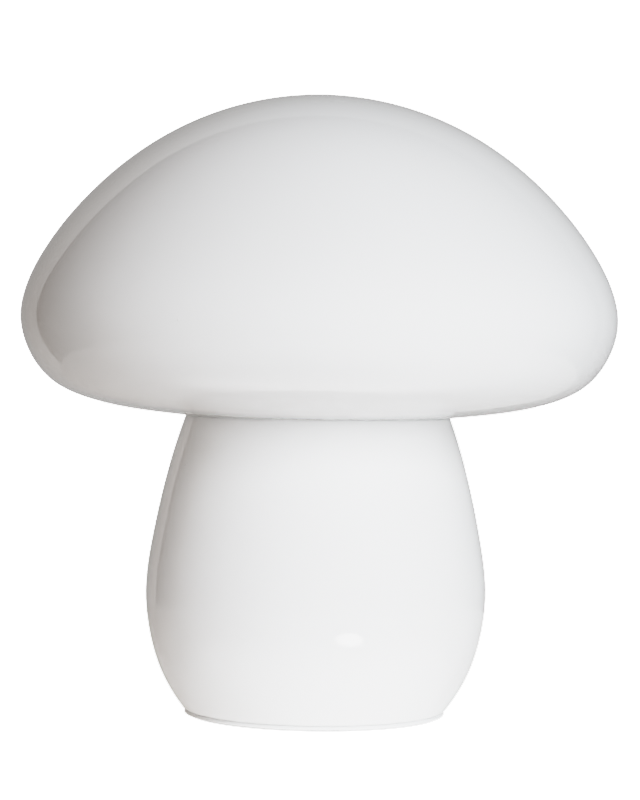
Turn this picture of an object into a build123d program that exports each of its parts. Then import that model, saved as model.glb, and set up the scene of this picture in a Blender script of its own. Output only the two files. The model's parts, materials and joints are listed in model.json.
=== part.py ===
from build123d import *
import math
import os

os.makedirs("parts", exist_ok=True)

# Mushroom table lamp in blown opal glass, in millimetres.
# +Z is up, the table is z = 0, the origin is under the middle of the foot and the front is -Y.

# Clearances shared by the fits
seat_gap = 0.3          # between curved faces that seat on each other across a joint
close_gap = 0.05        # between curved faces of pieces that are clamped together
thread_fit = 0.05       # radial, round the screwed central tube
cut_margin = 1.0        # how far a cutter reaches past the face that it cuts

# Glass cap
cap_radius = 150.0
cap_top_z = 312.0
cap_widest_z = 199.7
cap_wall = 3.0
cap_lip_z = 150.8       # underside of the rounded lip
belly_slope = 0.10      # the underside falls this much towards the stem
# Shares of the way from the axis and the widest height out to the widest radius and up to the top
crown_shape = ((0.3636, 0.911), (0.593, 0.751), (0.7925, 0.519), (0.9245, 0.288), (0.9825, 0.1275))
# Shares of the way from the lip out and up to the widest place
belly_shape = ((0.958, 0.679), (0.8165, 0.352), (0.539, 0.137))

# Glass stem
stem_wall = 3.5
foot_radius = 65.7
foot_slope = 0.786      # outward lean of the wall at the foot
bulge_radius = 85.7
bulge_z = 61.8
neck_radius = 66.5      # where the lip of the cap stands
neck_slope = 0.3627     # inward lean of the straight cone there
# Shares of the way from foot to bulge and from bulge to neck
foot_shape = ((0.55, 0.294), (0.8775, 0.632))
neck_shape = ((0.168, 0.317), (0.506, 0.654))
rim_height = 12.4       # straight cone above the lip of the cap
cord_hole_z = 16.0
cord_hole_radius = 4.95

# Seat ring between stem and cap
rest_ring_wall = 0.6
rest_ring_height = 5.0
rest_ring_below_lip = 0.4

# Foot: pad, pressed plate and clear gasket
pad_thickness = 0.8
pad_width = 14.6
pad_inset = 1.9         # from the edge of the plate
plate_thickness = 1.2
plate_radius = 65.5
dish_foot_radius = 46.0
dish_top_radius = 24.0
dish_height = 7.0
bead_width = 4.2
bead_height = 2.6
gasket_thickness = 0.6
gasket_radius = 65.1
gasket_upstand_wall = 1.0
gasket_upstand_height = 3.5

# Central tube with its nuts
tube_radius = 5.0
tube_bore = 4.0
tube_foot_z = 1.4
tube_in_dome = 8.0      # length of tube inside the lampholder
nut_across_flats = 14.0
nut_height = 5.0
washer_radius = 9.5
washer_thickness = 1.0

# Cord grommet in the back of the stem
grommet_bore = 3.2
grommet_flange_radius = 7.2
grommet_flange_thickness = 1.4
grommet_lip_radius = 6.2

# Neck gasket and the spider that carries the lampholder
neck_gasket_wall = 1.0
neck_gasket_depth = 3.6
spider_thickness = 1.2
spider_radius = 64.4
spider_skirt = 3.2
spider_arm_width = 13.0
spider_arms = 3
first_arm_angle = 90.0
hub_radius = 29.0

# Lampholder
skirt_radius = 19.8
skirt_bore = 15.4
skirt_above_hub = 13.0
skirt_length = 32.0
chamber_radius = 17.4
chamber_height = 13.0
spigot_length = 6.0
spigot_wall = 1.4
dome_wall = 2.0
dome_straight = 22.0
dome_taper = 12.0
dome_boss_radius = 10.0
dome_boss_height = 7.0
dome_cord_radius = 3.6
dome_cord_above_taper = 1.0
shade_ring_radius = 26.0
shade_ring_height = 5.0
shade_ring_notches = 12
shade_notch_radius = 1.8
shade_notch_depth = 1.2
set_screw_radius = 1.8
screw_slot_width = 0.6
screw_slot_depth = 0.8
insert_collar_overlap = 0.1
insert_below_contact = 3.0
dome_ledge_width = 2.4
dome_ledge_height = 2.5
terminal_size = 7.0
terminal_spacing = 17.0
terminal_height = 8.0
terminal_screw_radius = 1.5
terminal_head_radius = 2.4
terminal_head_height = 1.5
terminal_wire_radius = 1.6
contact_width = 6.0
contact_thickness = 0.6
tongue_foot_reach = 6.0     # sideways from the axis
tongue_bend_x = 1.2
tongue_top_x = -0.8
tongue_tip_reach = 4.0
side_contact_height = 9.0

# Screw thread of bulb and socket
thread_pitch = 3.629
male_round = 1.03
male_mean_radius = 12.07
male_core_radius = 12.05
male_turns = 3.75
male_thread_above_foot = 0.6
female_round = 0.55
shell_outer_radius = 14.3
shell_wall = 0.9
shell_height = 20.0
socket_depth = 23.0     # from the mouth of the holder down to the centre contact

# Bulb
bulb_length = 105.0
bulb_radius = 30.0
bulb_neck_radius = 12.6
bulb_shoulder_angle = 38.0  # below the middle of the globe
bulb_glass = 0.8
cap_shell_height = 22.0
cap_shell_wall = 1.1
cap_collar_radius = 13.2
cap_collar_height = 4.0
cap_collar_step = 1.0
tip_radius = 4.8
tip_face_radius = 2.6
tip_height = 1.5
tip_edge_height = 0.6
insulator_height = 3.6
insulator_ledge = 1.0
filament_count = 4
first_filament_angle = 45.0
filament_radius = 0.9
filament_length = 32.0
filament_spread = 9.0
filament_above_cap = 26.0
mount_rim_height = 1.0
mount_flare_radius = 6.5
mount_flare_height = 4.0
mount_press_radius = 3.0
mount_press_height = 18.0
mount_rod_radius = 1.6
wire_radius = 0.35
wire_inset = 1.5

# Heights that follow from the sizes above
plate_top_z = pad_thickness + plate_thickness
stem_foot_z = plate_top_z + gasket_thickness
dish_top_z = plate_top_z + dish_height
rim_z = cap_lip_z + rim_height
spider_z = rim_z + neck_gasket_wall
hub_top_z = spider_z + spider_thickness
mouth_z = hub_top_z + skirt_above_hub
skirt_foot_z = mouth_z - skirt_length
chamber_top_z = skirt_foot_z + chamber_height
dome_top_z = skirt_foot_z + spigot_length
dome_taper_z = dome_top_z - dome_straight
boss_top_z = dome_taper_z - dome_taper
boss_foot_z = boss_top_z - dome_boss_height
contact_z = mouth_z - socket_depth
insert_top_z = contact_z - insert_below_contact
shell_foot_z = insert_top_z + close_gap
male_foot_z = contact_z + tip_height + insulator_height
spigot_radius = chamber_radius + spigot_wall
dome_radius = spigot_radius + close_gap + dome_wall
bulb_neck_z = male_foot_z + cap_shell_height

lining_steps = 24


def xz(points):
    """The same points on the plane of the revolved profiles."""
    return [(r, 0, z) for r, z in points]


def turned(*edges):
    """A body of revolution about the lamp's axis."""
    return revolve(make_face(Wire(list(edges))), Axis.Z)


def turned_polygon(points):
    """A body of revolution with straight flanks."""
    return revolve(make_face(Polyline(*xz(points), close=True)), Axis.Z)


def ring(outer, inner, low, high):
    return turned_polygon([(inner, low), (outer, low), (outer, high), (inner, high)])


def disc(radius, low, high):
    return Pos(0, 0, low) * Cylinder(radius, high - low, align=(Align.CENTER, Align.CENTER, Align.MIN))


def hexagon_nut(low):
    blank = extrude(RegularPolygon(nut_across_flats / 2, 6, major_radius=False), nut_height)
    hole = disc(tube_radius + thread_fit, -cut_margin, nut_height + cut_margin)
    return Pos(0, 0, low) * (blank - hole)


def coil(round_radius, mean_radius, turns, low):
    """One unbroken round ridge along a right-hand screw."""
    path = Pos(0, 0, low) * Helix(thread_pitch, thread_pitch * turns, mean_radius)
    return sweep(Plane(origin=path @ 0, z_dir=path % 0) * Circle(round_radius), path=path, is_frenet=True)


def between(start, end, shape):
    """Points of a curve from start to end, given as shares of the way in r and in z."""
    return [(start[0] + (end[0] - start[0]) * r, start[1] + (end[1] - start[1]) * z) for r, z in shape]


def beside(skin, distance):
    """Points along a curve, moved to its right by the distance."""
    points = []
    for i in range(lining_steps + 1):
        spot, way = skin @ (i / lining_steps), skin % (i / lining_steps)
        points.append((spot.X + distance * way.Z, spot.Z - distance * way.X))
    return points


def neck_point(z, off):
    """A point on the neck cone at height z, moved outwards by off."""
    return neck_radius - (z - cap_lip_z) * neck_slope + off * math.hypot(1, neck_slope), z


def lip_middle():
    """Middle of the cap's rounded lip, which stands clear of the seat ring on the cone."""
    gap = rest_ring_wall + close_gap + seat_gap
    return neck_point(cap_lip_z + cap_wall / 2, cap_wall / 2 + gap)


def cap_skin():
    """Outside of the cap from the apex over its widest place to the lip."""
    apex, widest, lip = (0, cap_top_z), (cap_radius, cap_widest_z), (lip_middle()[0], cap_lip_z)
    points = [apex] + between((0, cap_widest_z), (cap_radius, cap_top_z), crown_shape)
    points += [widest] + between(lip, widest, belly_shape) + [lip]
    return Spline(*xz(points), tangents=(Vector(1, 0, 0), Vector(-1, 0, -belly_slope)))


def glass_cap():
    """Blown cap: dome, belly and a rounded lip round the hole for the stem."""
    skin = cap_skin()
    lining = Spline(*xz(beside(skin, cap_wall)), tangents=(Vector(1, 0, 0), Vector(-1, 0, -belly_slope)))
    middle = (skin @ 1 + lining @ 1) / 2
    nose = ThreePointArc(skin @ 1, middle - Vector(cap_wall / 2, 0, 0), lining @ 1)
    return turned(skin, nose, lining, Line(lining @ 0, skin @ 0))


def stem_skin():
    """Outside of the stem from its foot over the bulge to the lip of the cap."""
    foot, bulge, neck = (foot_radius, stem_foot_z), (bulge_radius, bulge_z), (neck_radius, cap_lip_z)
    points = [foot] + between(foot, bulge, foot_shape) + [bulge] + between(bulge, neck, neck_shape) + [neck]
    return Spline(*xz(points), tangents=(Vector(foot_slope, 0, 1), Vector(-neck_slope, 0, 1)))


def stem_lining_points():
    """Inside of the stem, carried on straight to the ground foot and to the rim."""
    inside = beside(stem_skin(), -stem_wall)
    foot_r, foot_z = inside[0]
    foot = (foot_r - (foot_z - stem_foot_z) * foot_slope, stem_foot_z)
    return [foot] + inside


def stem_spot(z):
    """Place and direction of the stem's outside at height z."""
    skin, low, high = stem_skin(), 0.0, 1.0
    for _ in range(30):
        half = (low + high) / 2
        low, high = (half, high) if (skin @ half).Z < z else (low, half)
    return skin @ low, skin % low


def cord_plane(depth):
    """Plane square to the back wall at the cord hole, depth inside its outer face."""
    spot, way = stem_spot(cord_hole_z)
    out = Vector(0, way.Z, -way.X)
    return Plane(origin=Vector(0, spot.X, spot.Z) - out * depth, x_dir=(1, 0, 0), z_dir=out)


def glass_stem():
    """Blown stem, open at the rim and at the foot, with a drilled hole for the cord."""
    skin = stem_skin()
    lining = Spline(*xz(stem_lining_points()))
    rim_out, rim_in = xz([neck_point(rim_z, 0), neck_point(rim_z, -stem_wall)])
    body = turned(skin, Line(skin @ 1, rim_out), Line(rim_out, rim_in), Line(rim_in, lining @ 1),
                  lining, Line(lining @ 0, skin @ 0))
    return body - extrude(cord_plane(3 * stem_wall) * Circle(cord_hole_radius), 6 * stem_wall)


def cap_rest_ring():
    """Clear soft band round the neck, on which the cap's lip rests."""
    low = cap_lip_z - rest_ring_below_lip
    high = low + rest_ring_height
    inner, outer = close_gap, close_gap + rest_ring_wall
    return turned_polygon([neck_point(low, inner), neck_point(low, outer), neck_point(high, outer),
                           neck_point(high, inner)])


def foot_pad():
    outer = plate_radius - pad_inset
    return ring(outer, outer - pad_width, 0, pad_thickness)


def base_plate():
    """Pressed plate: flat flange, locating bead and a raised dish for the tube's nut."""
    hole = tube_radius + thread_fit
    bead_out = upstand_bore() - close_gap
    bead_in = bead_out - bead_width
    top = [(hole, dish_top_z), (dish_top_radius, dish_top_z), (dish_foot_radius, plate_top_z),
           (bead_in, plate_top_z), (bead_in + bead_width / 3, plate_top_z + bead_height),
           (bead_out - bead_width / 3, plate_top_z + bead_height), (bead_out, plate_top_z),
           (plate_radius, plate_top_z)]
    under = [(r, z - plate_thickness) for r, z in reversed(top)]
    return turned_polygon(top + under)


def base_gasket():
    """Clear ring under the glass, with an upstand that centres it."""
    inside = upstand_bore() + gasket_upstand_wall
    return turned_polygon([(upstand_bore(), plate_top_z), (gasket_radius, plate_top_z),
                           (gasket_radius, stem_foot_z), (inside, stem_foot_z),
                           (inside, stem_foot_z + gasket_upstand_height),
                           (upstand_bore(), stem_foot_z + gasket_upstand_height)])


def upstand_bore():
    """Inside radius of the gasket's upstand, which centres the glass at its foot."""
    return stem_lining_points()[0][0] - seat_gap - gasket_upstand_wall


def centre_tube():
    return ring(tube_radius, tube_bore, tube_foot_z, boss_top_z - dome_boss_height + tube_in_dome)


def lower_washer():
    under = dish_top_z - plate_thickness
    return ring(washer_radius, tube_radius + thread_fit, under - washer_thickness, under)


def lower_nut():
    return hexagon_nut(dish_top_z - plate_thickness - washer_thickness - nut_height)


def dome_locknut():
    return hexagon_nut(boss_foot_z - nut_height)


def cord_grommet():
    """Soft bush through the glass, with a flange outside and a smaller lip inside."""
    lip_depth = stem_wall + grommet_lip_radius ** 2 / (2 * foot_radius) + close_gap
    foot = lip_depth + grommet_flange_thickness
    head = grommet_flange_thickness + close_gap
    body = extrude(cord_plane(foot) * Circle(cord_hole_radius - close_gap), foot + head)
    flange = extrude(cord_plane(-close_gap) * Circle(grommet_flange_radius), grommet_flange_thickness)
    lip = extrude(cord_plane(foot) * Circle(grommet_lip_radius), grommet_flange_thickness)
    bore = extrude(cord_plane(foot + cut_margin) * Circle(grommet_bore), foot + head + 2 * cut_margin)
    return body + flange + lip - bore


def neck_gasket():
    """Soft channel pushed over the rim of the stem."""
    low, wall = rim_z - neck_gasket_depth, neck_gasket_wall
    outer_low, outer_high = neck_point(low, close_gap), neck_point(rim_z, close_gap)
    inner_low, inner_high = neck_point(low, -stem_wall - close_gap), neck_point(rim_z, -stem_wall - close_gap)
    return turned_polygon([(outer_low[0] + wall, low), (outer_high[0] + wall, rim_z + wall),
                           (inner_high[0] - wall, rim_z + wall), (inner_low[0] - wall, low),
                           inner_low, inner_high, outer_high, outer_low])


def neck_spider():
    """Pressed ring on the neck gasket, with arms to the hub that clamps the lampholder."""
    gasket_bore = neck_point(rim_z, -stem_wall - close_gap)[0] - neck_gasket_wall
    skirt_outer = gasket_bore - seat_gap
    skirt_inner = skirt_outer - spider_thickness
    flat = Circle(spider_radius) - Circle(skirt_inner) + Circle(hub_radius)
    reach = (hub_radius + spider_radius) / 2
    for i in range(spider_arms):
        arm = Pos(reach, 0) * Rectangle(spider_radius - hub_radius, spider_arm_width)
        flat += Rot(0, 0, first_arm_angle + 360 * i / spider_arms) * arm
    flat -= Circle(skirt_radius + seat_gap)
    plate = Pos(0, 0, spider_z) * extrude(flat, spider_thickness)
    skirt = ring(skirt_outer, skirt_inner, spider_z - spider_skirt, hub_top_z)
    return (plate + skirt).solids()[0]


def shade_ring(low):
    """Knurled ring nut on the lampholder's skirt."""
    blank = ring(shade_ring_radius, skirt_radius + close_gap, low, low + shade_ring_height)
    for i in range(shade_ring_notches):
        cut = Pos(shade_ring_radius + shade_notch_radius - shade_notch_depth, 0) * Circle(shade_notch_radius)
        notch = extrude(Rot(0, 0, 360 * i / shade_ring_notches) * cut, shade_ring_height + 2 * cut_margin)
        blank -= Pos(0, 0, low - cut_margin) * notch
    return blank


def upper_shade_ring():
    return shade_ring(hub_top_z)


def lower_shade_ring():
    return shade_ring(spider_z - shade_ring_height)


def holder_skirt():
    """Upper half of the lampholder, with the chamber for the ceramic insert."""
    spigot_z = dome_top_z
    return turned_polygon([(chamber_radius, skirt_foot_z), (spigot_radius, skirt_foot_z),
                           (spigot_radius, spigot_z), (skirt_radius, spigot_z), (skirt_radius, mouth_z),
                           (skirt_bore, mouth_z), (skirt_bore, chamber_top_z),
                           (chamber_radius, chamber_top_z)])


def holder_dome():
    """Lower half of the lampholder, with the tube's boss and the side entry for the cord."""
    outer = [(dome_radius, dome_top_z), (dome_radius, dome_taper_z), (dome_boss_radius, boss_top_z),
             (dome_boss_radius, boss_foot_z)]
    bore = tube_radius + thread_fit
    inside = dome_radius - dome_wall
    ledge = inside - dome_ledge_width
    inner = [(bore, boss_foot_z), (bore, boss_top_z + dome_wall), (inside, dome_taper_z + dome_wall),
             (inside, skirt_foot_z - dome_ledge_height), (ledge, skirt_foot_z - dome_ledge_height / 2),
             (ledge, skirt_foot_z), (inside, skirt_foot_z), (inside, dome_top_z)]
    entry_z = dome_taper_z + dome_wall + dome_cord_radius + dome_cord_above_taper
    entry = Pos(0, dome_radius / 2, entry_z) * Rot(-90, 0, 0) * disc(dome_cord_radius, 0, dome_radius)
    return turned_polygon(outer + inner) - entry - set_screw_hole()


def set_screw_middle():
    return (boss_foot_z + boss_top_z) / 2


def set_screw_hole():
    hole = disc(set_screw_radius + close_gap, 0, 2 * dome_boss_radius)
    return Pos(0, 0, set_screw_middle()) * Rot(90, 0, 0) * hole


def screw_slot(radius, top):
    """Cutter for the driver's slot across a screw whose head ends at the height top."""
    return Pos(0, 0, top) * Box(2 * radius + cut_margin, screw_slot_width, 2 * screw_slot_depth)


def tube_set_screw():
    """Grub screw that locks the lampholder on the tube."""
    body = disc(set_screw_radius, tube_radius + 2 * close_gap, dome_boss_radius)
    body -= screw_slot(set_screw_radius, dome_boss_radius)
    return Pos(0, 0, set_screw_middle()) * Rot(90, 0, 0) * body


def holder_insert():
    """Ceramic disc with a collar, held between the dome's ledge and the step of the chamber."""
    outer = chamber_radius - close_gap
    body = disc(outer, skirt_foot_z, insert_top_z)
    body += ring(outer, skirt_bore - insert_collar_overlap, insert_top_z, chamber_top_z - close_gap)
    rivet_hole = disc(terminal_screw_radius, skirt_foot_z - cut_margin, insert_top_z + cut_margin)
    for x in terminal_places():
        body -= Pos(x, 0, 0) * rivet_hole
    return body


def terminal_places():
    return (-terminal_spacing / 2, terminal_spacing / 2)


def terminal_block_middle():
    return skirt_foot_z - terminal_height / 2


def terminal_blocks():
    """Two brass blocks under the insert, cross-drilled for wire and screw."""
    blocks = []
    for x in terminal_places():
        block = Pos(x, 0, terminal_block_middle()) * Box(terminal_size, terminal_size, terminal_height)
        block -= Pos(x, 0, terminal_block_middle()) * Rot(90, 0, 0) * disc(
            terminal_screw_radius + close_gap, 0, terminal_size)
        block -= Pos(x, 0, terminal_block_middle()) * Rot(0, 180, 0) * disc(
            terminal_wire_radius, 0, terminal_height)
        blocks.append(block)
    return Compound(blocks)


def terminal_screws():
    """The screws that clamp the wires, one in each block."""
    screws = []
    seat = terminal_size / 2 + seat_gap
    top = seat + terminal_head_height
    for x in terminal_places():
        screw = disc(terminal_screw_radius, terminal_wire_radius + seat_gap, seat)
        screw += disc(terminal_head_radius, seat, top) - screw_slot(terminal_head_radius, top)
        screws.append(Pos(x, 0, terminal_block_middle()) * Rot(90, 0, 0) * screw)
    return Compound(screws)


def screw_shell():
    """Metal sleeve of the socket, with a ridge that lies between the ridges of the bulb."""
    bore = shell_outer_radius - shell_wall
    margin = female_round + close_gap
    turns_below = math.floor((male_thread_z() - shell_foot_z - margin) / thread_pitch - 0.5) + 0.5
    start = male_thread_z() - turns_below * thread_pitch
    turns = math.floor((shell_foot_z + shell_height - margin - start) / thread_pitch)
    ridge = coil(female_round, bore - female_round / 5, turns, start)
    return ring(shell_outer_radius, bore, shell_foot_z, shell_foot_z + shell_height) + ridge


def male_thread_z():
    """Height at which the bulb's ridge starts."""
    return male_foot_z + male_round + male_thread_above_foot


def strip(points, width):
    """A bent metal strip from the closed outline of its edge."""
    face = make_face(Polyline(*[(x, 0, z) for x, z in points], close=True))
    return extrude(face, width / 2, both=True, dir=(0, 1, 0))


def centre_contact():
    """Springy tongue under the tip of the bulb."""
    t = contact_thickness
    low, high = insert_top_z + close_gap, contact_z - 2 * close_gap
    return strip([(tongue_foot_reach, low), (tongue_foot_reach, low + t), (tongue_bend_x, low + t),
                  (tongue_top_x, high), (-tongue_tip_reach, high), (-tongue_tip_reach, high - t),
                  (tongue_top_x - t / 2, high - t), (tongue_bend_x - t / 2, low)], contact_width)


def side_contact():
    """Riveted strip that joins the sleeve to its terminal."""
    t = contact_thickness
    low = insert_top_z + close_gap
    high = low + side_contact_height
    foot = shell_outer_radius + close_gap
    return strip([(-foot, low), (-foot, high), (-foot - t, high), (-foot - t, low)], contact_width / 2)


def bulb_tip_contact():
    """Solder dome at the tip of the bulb."""
    top = contact_z + tip_height
    return turned_polygon([(0, contact_z), (tip_face_radius, contact_z), (tip_radius, top - tip_edge_height),
                           (tip_radius, top), (0, top)])


def bulb_insulator():
    """Dark glass cone between tip and screw cap."""
    low = contact_z + tip_height
    wide = male_core_radius - cap_shell_wall
    return turned_polygon([(0, low), (tip_radius + insulator_ledge, low), (wide, male_foot_z),
                           (0, male_foot_z)])


def bulb_screw_cap():
    """Rolled metal cap with its thread and a plain collar."""
    inner = male_core_radius - cap_shell_wall
    top = bulb_neck_z
    collar = top - cap_collar_height
    blank = turned_polygon([(inner, male_foot_z), (male_core_radius, male_foot_z),
                            (male_core_radius, collar - cap_collar_step), (cap_collar_radius, collar),
                            (cap_collar_radius, top), (inner, top)])
    return blank + coil(male_round, male_mean_radius, male_turns, male_thread_z())


def envelope_points():
    """Outside of the bulb from its neck to the top of the globe."""
    top = contact_z + bulb_length
    middle = top - bulb_radius
    angle = math.radians(bulb_shoulder_angle)
    shoulder = (bulb_radius * math.cos(angle), middle - bulb_radius * math.sin(angle))
    return (bulb_neck_radius, bulb_neck_z + close_gap), shoulder, (bulb_radius, middle), (0, top)


def envelope_profile(inset):
    neck, shoulder, side, top = envelope_points()
    r = bulb_radius - inset
    share = r / bulb_radius
    shoulder = (shoulder[0] * share, side[1] + (shoulder[1] - side[1]) * share)
    neck = (neck[0] - inset, neck[1])
    outward = Vector(side[1] - shoulder[1], 0, shoulder[0])
    flank = Spline(*xz([neck, shoulder]), tangents=(Vector(0, 0, 1), outward))
    halfway = r * math.sqrt(0.5)
    crown = ThreePointArc(*xz([shoulder, (halfway, side[1] + halfway), (0, side[1] + r)]))
    return flank, crown


def bulb_envelope():
    """Clear glass bulb."""
    outer_flank, outer_crown = envelope_profile(0)
    inner_flank, inner_crown = envelope_profile(bulb_glass)
    return turned(outer_flank, outer_crown, Line(outer_crown @ 1, inner_crown @ 1), inner_crown, inner_flank,
                  Line(inner_flank @ 0, outer_flank @ 0))


def mount_top_z():
    return filament_foot_z() + filament_length


def filament_foot_z():
    return bulb_neck_z + filament_above_cap


def filament_mount():
    """Glass flare and rod that hold the filaments."""
    low = bulb_neck_z + close_gap
    rim = bulb_neck_radius - bulb_glass - close_gap
    return turned_polygon([(0, low), (rim, low), (rim, low + mount_rim_height),
                           (mount_flare_radius, low + mount_flare_height),
                           (mount_press_radius, low + mount_press_height),
                           (mount_rod_radius, filament_foot_z()), (mount_rod_radius, mount_top_z()),
                           (0, mount_top_z())])


def filament_angles():
    return [first_filament_angle + 360 * i / filament_count for i in range(filament_count)]


def led_filaments():
    """Glowing sticks set round the rod."""
    sticks = []
    for angle in filament_angles():
        stick = disc(filament_radius, filament_foot_z(), mount_top_z())
        sticks.append(Rot(0, 0, angle) * Pos(filament_spread, 0) * stick)
    return Compound(sticks)


def filament_wires():
    """Short wires from the rod to both ends of each stick."""
    start = mount_rod_radius + close_gap
    stop = filament_spread - filament_radius - close_gap
    wires = []
    for angle in filament_angles():
        for z in (filament_foot_z() + wire_inset, mount_top_z() - wire_inset):
            wire = Rot(0, 90, 0) * disc(wire_radius, start, stop)
            wires.append(Pos(0, 0, z) * Rot(0, 0, angle) * wire)
    return Compound(wires)


sub_parts = (
    glass_cap, glass_stem, cap_rest_ring, foot_pad, base_plate, base_gasket, centre_tube, lower_washer,
    lower_nut, dome_locknut, cord_grommet, neck_gasket, neck_spider, upper_shade_ring, lower_shade_ring,
    holder_skirt, holder_dome, tube_set_screw, holder_insert, terminal_blocks, terminal_screws, screw_shell,
    centre_contact, side_contact, bulb_tip_contact, bulb_insulator, bulb_screw_cap, bulb_envelope,
    filament_mount, led_filaments, filament_wires,
)

for make in sub_parts:
    export_step(make(), f"parts/{make.__name__}.step")
    print(make.__name__)
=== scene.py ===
import json
import math

import bmesh
import bpy
import numpy as np
from mathutils import Euler, Matrix, Vector

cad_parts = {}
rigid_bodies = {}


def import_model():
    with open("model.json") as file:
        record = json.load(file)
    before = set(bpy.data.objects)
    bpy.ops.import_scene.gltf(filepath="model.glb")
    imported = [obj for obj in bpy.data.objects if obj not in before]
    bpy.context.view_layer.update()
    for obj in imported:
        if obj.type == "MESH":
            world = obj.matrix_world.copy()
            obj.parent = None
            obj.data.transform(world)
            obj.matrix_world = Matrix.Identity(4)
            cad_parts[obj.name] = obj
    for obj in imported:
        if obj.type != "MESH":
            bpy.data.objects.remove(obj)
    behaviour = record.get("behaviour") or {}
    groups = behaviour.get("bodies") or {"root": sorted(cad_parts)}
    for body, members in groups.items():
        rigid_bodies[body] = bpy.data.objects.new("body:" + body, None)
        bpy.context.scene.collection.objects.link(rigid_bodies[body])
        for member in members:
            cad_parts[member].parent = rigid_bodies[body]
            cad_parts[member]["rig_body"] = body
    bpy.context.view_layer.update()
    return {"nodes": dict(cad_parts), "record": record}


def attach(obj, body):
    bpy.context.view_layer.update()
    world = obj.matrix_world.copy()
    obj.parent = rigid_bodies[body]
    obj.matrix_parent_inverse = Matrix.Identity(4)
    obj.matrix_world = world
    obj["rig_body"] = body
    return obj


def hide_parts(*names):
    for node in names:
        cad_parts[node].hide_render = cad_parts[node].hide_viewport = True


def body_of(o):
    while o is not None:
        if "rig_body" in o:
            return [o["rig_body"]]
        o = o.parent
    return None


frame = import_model()
scene = bpy.context.scene
mm = 0.001
weld = 0.001 * mm  # points closer than this become one
print("stage: frame loaded,", len(frame["nodes"]), "nodes")


def addNode(tree, kind, **settings):
    node = tree.nodes.new(kind)
    for name, value in settings.items():
        setattr(node, name, value)
    return node


def joinUp(tree, source, target):
    tree.links.new(source, target)


def feed(tree, socket, value):
    # value is another node's socket, or the plain value of this one
    if isinstance(value, bpy.types.NodeSocket):
        joinUp(tree, value, socket)
    else:
        socket.default_value = value


def setInputs(node, values):
    # an underscore stands for the space in a socket's name
    for label, value in values.items():
        node.inputs[label.replace("_", " ")].default_value = value


def mathOf(tree, operation, *values):
    node = addNode(tree, "ShaderNodeMath", operation=operation)
    for socket, value in zip(node.inputs, values):
        feed(tree, socket, value)
    return node.outputs[0]


def product(tree, first, *others):
    for value in others:
        first = mathOf(tree, "MULTIPLY", first, value)
    return first


def opposite(tree, share):
    return mathOf(tree, "SUBTRACT", 1.0, share)


def vectorOf(tree, operation, *values):
    node = addNode(tree, "ShaderNodeVectorMath", operation=operation)
    for socket, value in zip(node.inputs, values):
        feed(tree, socket, value)
    return node.outputs["Value" if operation in ("LENGTH", "DOT_PRODUCT") else "Vector"]


def splitOf(tree, vector):
    node = addNode(tree, "ShaderNodeSeparateXYZ")
    joinUp(tree, vector, node.inputs["Vector"])
    return node.outputs


def mixOf(tree, mask, first, second):
    # first and second are colours or sockets
    node = addNode(tree, "ShaderNodeMix", data_type="RGBA")
    joinUp(tree, mask, node.inputs["Factor"])
    for socket, colour in zip([s for s in node.inputs if s.type == "RGBA"], (first, second)):
        feed(tree, socket, (*colour, 1.0) if isinstance(colour, tuple) else colour)
    return [s for s in node.outputs if s.type == "RGBA"][0]


def softStep(tree, value, low, high):
    # 0 up to low, 1 from high on, and a soft rise between
    node = addNode(tree, "ShaderNodeMapRange", interpolation_type="SMOOTHSTEP")
    for label, number in (("Value", value), ("From Min", low), ("From Max", high)):
        feed(tree, node.inputs[label], number)
    return node.outputs["Result"]


def objectPlace(tree):
    return addNode(tree, "ShaderNodeTexCoord").outputs["Object"]


def newGroup(name, kind, inputs, outputs):
    # inputs are (name, socket type, default) rows, outputs are (name, socket type) rows
    tree = bpy.data.node_groups.new(name, kind)
    for label, socketKind, value in inputs:
        socket = tree.interface.new_socket(label, in_out="INPUT", socket_type=socketKind)
        if value is not None:
            socket.default_value = value
    for label, socketKind in outputs:
        tree.interface.new_socket(label, in_out="OUTPUT", socket_type=socketKind)
    start = addNode(tree, "NodeGroupInput")
    end = addNode(tree, "NodeGroupOutput")
    return tree, start.outputs, end.inputs


def buildCloudGroup():
    # slow drift between 0 and 1, as wall thickness makes in glass or paint
    tree, given, out = newGroup("slowCloud", "ShaderNodeTree",
                                [("Scale", "NodeSocketFloat", 12.0), ("Detail", "NodeSocketFloat", 2.0),
                                 ("Low", "NodeSocketFloat", 0.35), ("High", "NodeSocketFloat", 0.65)],
                                [("Mask", "NodeSocketFloat")])
    place = objectPlace(tree)
    noise = addNode(tree, "ShaderNodeTexNoise")
    joinUp(tree, place, noise.inputs["Vector"])
    joinUp(tree, given["Scale"], noise.inputs["Scale"])
    joinUp(tree, given["Detail"], noise.inputs["Detail"])
    joinUp(tree, softStep(tree, noise.outputs["Fac"], given["Low"], given["High"]), out["Mask"])
    return tree


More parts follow.
